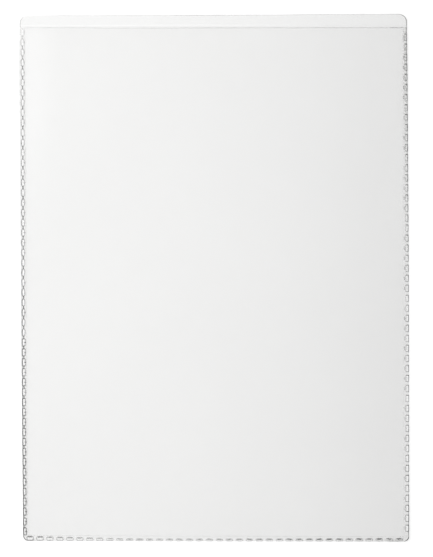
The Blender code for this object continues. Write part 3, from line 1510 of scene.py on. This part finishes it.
@dataclass
class Studio:
    """White floor, one soft lamp, and a long lens above the sleeve, a little up and to the right."""

    floor_size: float = 8.0
    floor_drop: float = 0.0004
    floor_colour: Colour = (0.8, 0.8, 0.8, 1.0)
    seen_colour: Colour = (0.4, 0.4, 0.4, 1.0)
    near_glow: Colour = (0.80, 0.80, 0.80, 1.0)
    glow_range: Pair = (0.12, 0.60)
    fill_level: float = 0.174
    lamp_place: Point = (-0.085, 0.049, 0.172)
    lamp_size: Pair = (0.22, 0.42)
    lamp_power: float = 0.551
    lens: float = 451.9
    eye: Point = (0.1371, 0.1267, 2.0)
    target: Point = (0.00062, 0.00004, 0.0)
    roll: float = math.radians(0.232)
    clear_layers: int = 32

    def build(self) -> None:
        """Set the stage: floor, world, lamp, camera and plain colours."""
        self.lay_floor()
        self.light_world()
        self.hang_lamp()
        self.aim_camera()
        scene = bpy.context.scene
        scene.view_settings.view_transform = "Standard"
        scene.cycles.transparent_max_bounces = self.clear_layers

    @staticmethod
    def seen(board: NodeBoard) -> Wire:
        """Tell the rays that show the background, straight, in a mirror or through glass.

        Args:
            board: The node board of the background.

        Returns:
            1 on those rays, and 0 on the ones that only light the sleeve.
        """
        path = board.add("ShaderNodeLightPath")
        kinds = ("Camera", "Glossy", "Transmission")
        straight, mirrored, through = (path.other(f"Is {kind} Ray") for kind in kinds)
        return straight.at_least(mirrored).at_least(through)

    def lay_floor(self) -> None:
        """Lay a white floor that keeps the sleeve's shadow."""
        half = self.floor_size / 2
        shape = bmesh.new()
        corners = [(-half, -half), (half, -half), (half, half), (-half, half)]
        shape.faces.new([shape.verts.new((x, y, -self.floor_drop)) for x, y in corners])
        board = FinishBoard("white_floor")
        seen = self.seen(board)
        reach = board.add("ShaderNodeVectorMath", {"operation": "LENGTH"}, {0: board.place})
        glow = board.tint(board.ramp(reach, *self.glow_range), self.near_glow, WHITE)
        material = board.dress(
            {
                "Base Color": board.tint(seen, self.floor_colour, self.seen_colour),
                "Roughness": 1.0,
                "Specular IOR Level": 0.0,
                "Emission Color": board.tint(seen, BLACK, glow),
                "Emission Strength": 1.0,
            }
        )
        lay_object("studio_floor", shape, [material])

    def light_world(self) -> None:
        """Fill the studio softly, behind a white backdrop."""
        world = bpy.data.worlds.new("white_studio")
        bpy.context.scene.world = world
        world.use_nodes = True
        world.node_tree.nodes.clear()
        board = NodeBoard(world.node_tree)
        level = self.fill_level + (1.0 - self.fill_level) * self.seen(board)
        sky = board.add("ShaderNodeBackground", {}, {"Color": WHITE, "Strength": level})
        board.add("ShaderNodeOutputWorld", {}, {"Surface": sky})

    def hang_lamp(self) -> None:
        """Hang one wide soft lamp above the sleeve's upper left."""
        lamp = bpy.data.lights.new("soft_lamp", "AREA")
        lamp.shape = "RECTANGLE"
        lamp.size, lamp.size_y = self.lamp_size
        lamp.energy = self.lamp_power
        holder = bpy.data.objects.new("soft_lamp", lamp)
        holder.location = self.lamp_place
        holder.visible_camera = False
        bpy.context.scene.collection.objects.link(holder)

    def aim_camera(self) -> None:
        """Aim the camera at the middle of the sleeve, turned a touch clockwise."""
        lens = bpy.data.cameras.new("camera")
        lens.lens = self.lens
        camera = bpy.data.objects.new("camera", lens)
        eye = Vector(self.eye)
        view = (Vector(self.target) - eye).normalized()
        up = Vector((math.sin(self.roll), math.cos(self.roll), 0.0))
        right = view.cross(up).normalized()
        up = right.cross(view)
        camera.matrix_world = Matrix.Translation(eye) @ Matrix((right, up, -view)).transposed().to_4x4()
        bpy.context.scene.collection.objects.link(camera)
        bpy.context.scene.camera = camera


def left_seam(places: SleeveFrame) -> WeldSeam:
    """Describe the left seam, whose chain runs down from the mouth, faint at first and dark at its end.

    Args:
        places: Places that the pieces share.

    Returns:
        The seam, not built yet.
    """
    # Painted shade: the stops below set how dark each of this chain's lines is along its run
    bead = SeamShadePlastic(
        "left_bead_plastic",
        veil=0.02,
        painted_shade=(
            (0.0, 0.06), (0.05, 0.22), (0.2, 0.30), (0.5, 0.56),
            (0.62, 0.72), (0.8, 0.76), (0.92, 0.92), (1.0, 0.93),
        ),
        inner=(
            (0.0, 0.8), (0.2, 0.65), (0.3, 0.50), (0.42, 0.50),
            (0.54, 0.52), (0.78, 0.54), (0.9, 0.90), (1.0, 0.95),
        ),
    )
    cut_edge = SeamShadePlastic(
        "left_cut_plastic",
        veil=0.05,
        painted_shade=(
            (0.0, 0.08), (0.08, 0.16), (0.35, 0.15), (0.54, 0.22),
            (0.7, 0.38), (0.85, 0.62), (1.0, 0.74),
        ),
    )
    knot = SeamShadePlastic(
        "left_knot_plastic",
        veil=0.02,
        painted_shade=((0.0, 0.05), (0.06, 0.32), (0.5, 0.52), (0.7, 0.42), (0.85, 0.25), (1.0, 0.06)),
    )
    tick = SeamShadePlastic(
        "left_tick_plastic",
        veil=0.02,
        painted_shade=((0.0, 0.02), (0.3, 0.15), (0.5, 0.30), (0.75, 0.60), (0.85, 0.85), (1.0, 0.85)),
    )
    return WeldSeam(
        side=Side.LEFT,
        node="left_weld_seam",
        places=places,
        links=51,
        first_link=0.07082,
        last_link=-0.07305,
        outer_depth=(0.00060, 0.00012),
        link_width=0.00088,
        width_growth=-0.12,
        drift=(-0.00020, -0.00008, 0.00019),
        bead=bead,
        cut_edge=cut_edge,
        knot=knot,
        tick=tick,
        clearing=((0.0, 0.5), (0.3, 0.65), (0.5, 0.9), (1.0, 0.9)),
        speckle_share=((0.0, 0.0), (0.6, 0.02), (0.75, 0.06), (1.0, 0.06)),
        ovals_until=0.62,
        oval_length=0.00205,
        knot_length=0.00105,
        knot_radius=0.00019,
        link_length=0.00200,
        corner_radius=0.00010,
        cut_strip=0.00026,
        bead_radius=0.00013,
        tick_offset=-0.00004,
        tick_length=0.00060,
        tick_radius=0.00012,
        tick_share=0.85,
        seed=11,
    )


def bottom_seam(places: SleeveFrame) -> WeldSeam:
    """Describe the bottom seam, whose chain runs to the right and narrows to short dashes.

    Args:
        places: Places that the pieces share.

    Returns:
        The seam, not built yet.
    """
    # Painted shade: the stops below set how dark each of this chain's lines is along its run
    bead = SeamShadePlastic(
        "bottom_bead_plastic",
        veil=0.05,
        painted_shade=(
            (0.0, 0.34), (0.12, 0.24), (0.25, 0.17), (0.4, 0.20),
            (0.55, 0.21), (0.7, 0.26), (1.0, 0.36),
        ),
        outer=((0.0, 0.95), (0.1, 0.65), (0.25, 0.35), (0.5, 0.20), (1.0, 0.20)),
    )
    cut_edge = SeamShadePlastic(
        "bottom_cut_plastic",
        veil=0.05,
        painted_shade=((0.0, 0.85), (0.02, 0.16), (0.6, 0.10), (0.97, 0.14), (1.0, 0.96)),
        outer=((0.0, 0.6), (0.02, 1.0), (0.97, 1.0), (1.0, 0.22)),
    )
    tick = SeamShadePlastic(
        "bottom_tick_plastic",
        veil=0.05,
        painted_shade=(
            (0.0, 0.24), (0.12, 0.15), (0.25, 0.09), (0.4, 0.14),
            (0.55, 0.16), (0.65, 0.21), (0.8, 0.41), (1.0, 0.60),
        ),
        spread=0.8,
    )
    return WeldSeam(
        side=Side.BOTTOM,
        node="bottom_weld_seam",
        places=places,
        links=38,
        first_link=-0.05353,
        last_link=0.05297,
        outer_depth=(0.00014, 0.00034),
        bow=-0.00016,
        link_width=0.00108,
        width_growth=-1.85,
        least_width=0.49,
        end_shift=(0.00019, -0.0001),
        bead=bead,
        cut_edge=cut_edge,
        knot=SeamShadePlastic("bottom_knot_plastic", veil=0.02, painted_shade=((0.0, 0.02), (1.0, 0.05))),
        tick=tick,
        clearing=((0.0, 0.5), (0.1, 0.25), (0.6, 0.5), (1.0, 0.4)),
        speckle_share=((0.0, 0.0), (0.6, 0.01), (0.96, 0.06), (1.0, 0.16)),
        cut_strip=0.00024,
        knots_from=2.0,
        tick_turn=0.0,
        tick_offset=-0.00002,
        tick_length=0.00115,
        tick_radius=0.00023,
        tick_share=1.0,
        tick_wobble=0.14,
        bead_radius=0.00012,
        seed=23,
    )


def right_seam(places: SleeveFrame) -> WeldSeam:
    """Describe the right seam, whose chain runs up to the mouth and grows dark and broken there.

    Args:
        places: Places that the pieces share.

    Returns:
        The seam, not built yet.
    """
    # Painted shade: the stops below set how dark each of this chain's lines is along its run
    bead = SeamShadePlastic(
        "right_bead_plastic",
        veil=0.05,
        painted_shade=((0.0, 0.46), (0.1, 0.42), (0.3, 0.38), (0.5, 0.46), (0.7, 0.58), (0.85, 0.48), (1.0, 0.42)),
        inner=((0.0, 0.6), (0.15, 0.55), (0.3, 0.40), (0.5, 0.24), (0.8, 0.20), (1.0, 0.35)),
        breaks=((0.0, 0.1), (0.5, 0.15), (0.7, 0.4), (0.85, 0.6), (1.0, 0.7)),
        spread=0.4,
    )
    cut_edge = SeamShadePlastic(
        "right_cut_plastic",
        veil=0.05,
        painted_shade=(
            (0.0, 0.85), (0.05, 0.40), (0.12, 0.24), (0.3, 0.15), (0.48, 0.18),
            (0.6, 0.36), (0.72, 0.40), (0.85, 0.66), (1.0, 0.84),
        ),
        breaks=((0.0, 0.2), (0.5, 0.2), (0.7, 0.35), (1.0, 0.40)),
        spread=0.8,
    )
    knot = SeamShadePlastic(
        "right_knot_plastic",
        veil=0.02,
        painted_shade=((0.0, 0.20), (0.4, 0.25), (0.6, 0.45), (1.0, 0.85)),
        inner=((0.0, 0.3), (1.0, 0.3)),
        spread=0.9,
    )
    tick = SeamShadePlastic(
        "right_tick_plastic",
        veil=0.02,
        painted_shade=((0.0, 0.06), (0.3, 0.10), (0.5, 0.18), (0.7, 0.16), (1.0, 0.15)),
        spread=1.2,
    )
    return WeldSeam(
        side=Side.RIGHT,
        node="right_weld_seam",
        places=places,
        links=50,
        first_link=-0.07184,
        last_link=0.06923,
        outer_depth=(0.00014, 0.00012),
        link_width=0.00084,
        width_growth=-0.31,
        drift=(-0.0001, -0.00016, 0.00017),
        bead=bead,
        cut_edge=cut_edge,
        knot=knot,
        tick=tick,
        clearing=((0.0, 0.75), (0.6, 0.65), (0.75, 0.40), (1.0, 0.30)),
        speckle_share=((0.0, 0.0), (0.45, 0.03), (0.6, 0.10), (0.8, 0.24), (1.0, 0.36)),
        knot_turn=math.pi / 2,
        knot_step=0.00091,
        knot_length=0.0008,
        knot_radius=0.00012,
        tick_turn=0.0,
        tick_offset=0.00042,
        tick_length=0.00100,
        tick_radius=0.00016,
        corner_radius=0.00004,
        bead_radius=0.00012,
        seed=37,
    )


def main() -> None:
    """Load the frame, build each piece on it, and log each piece's face count."""
    logging.basicConfig(level=logging.INFO, format="%(name)s: %(message)s")
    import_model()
    places = SleeveFrame.read()
    Studio().build()
    LOG.info("studio set")
    pieces = [BackFilm(places).build(), FrontFilm(places).build()]
    chain = ChainTree()
    pieces += [describe(places).build(chain) for describe in (left_seam, bottom_seam, right_seam)]
    for piece in pieces:
        LOG.info("%s: %d faces", piece.name, len(piece.data.polygons))


if __name__ == "__main__":
    main()
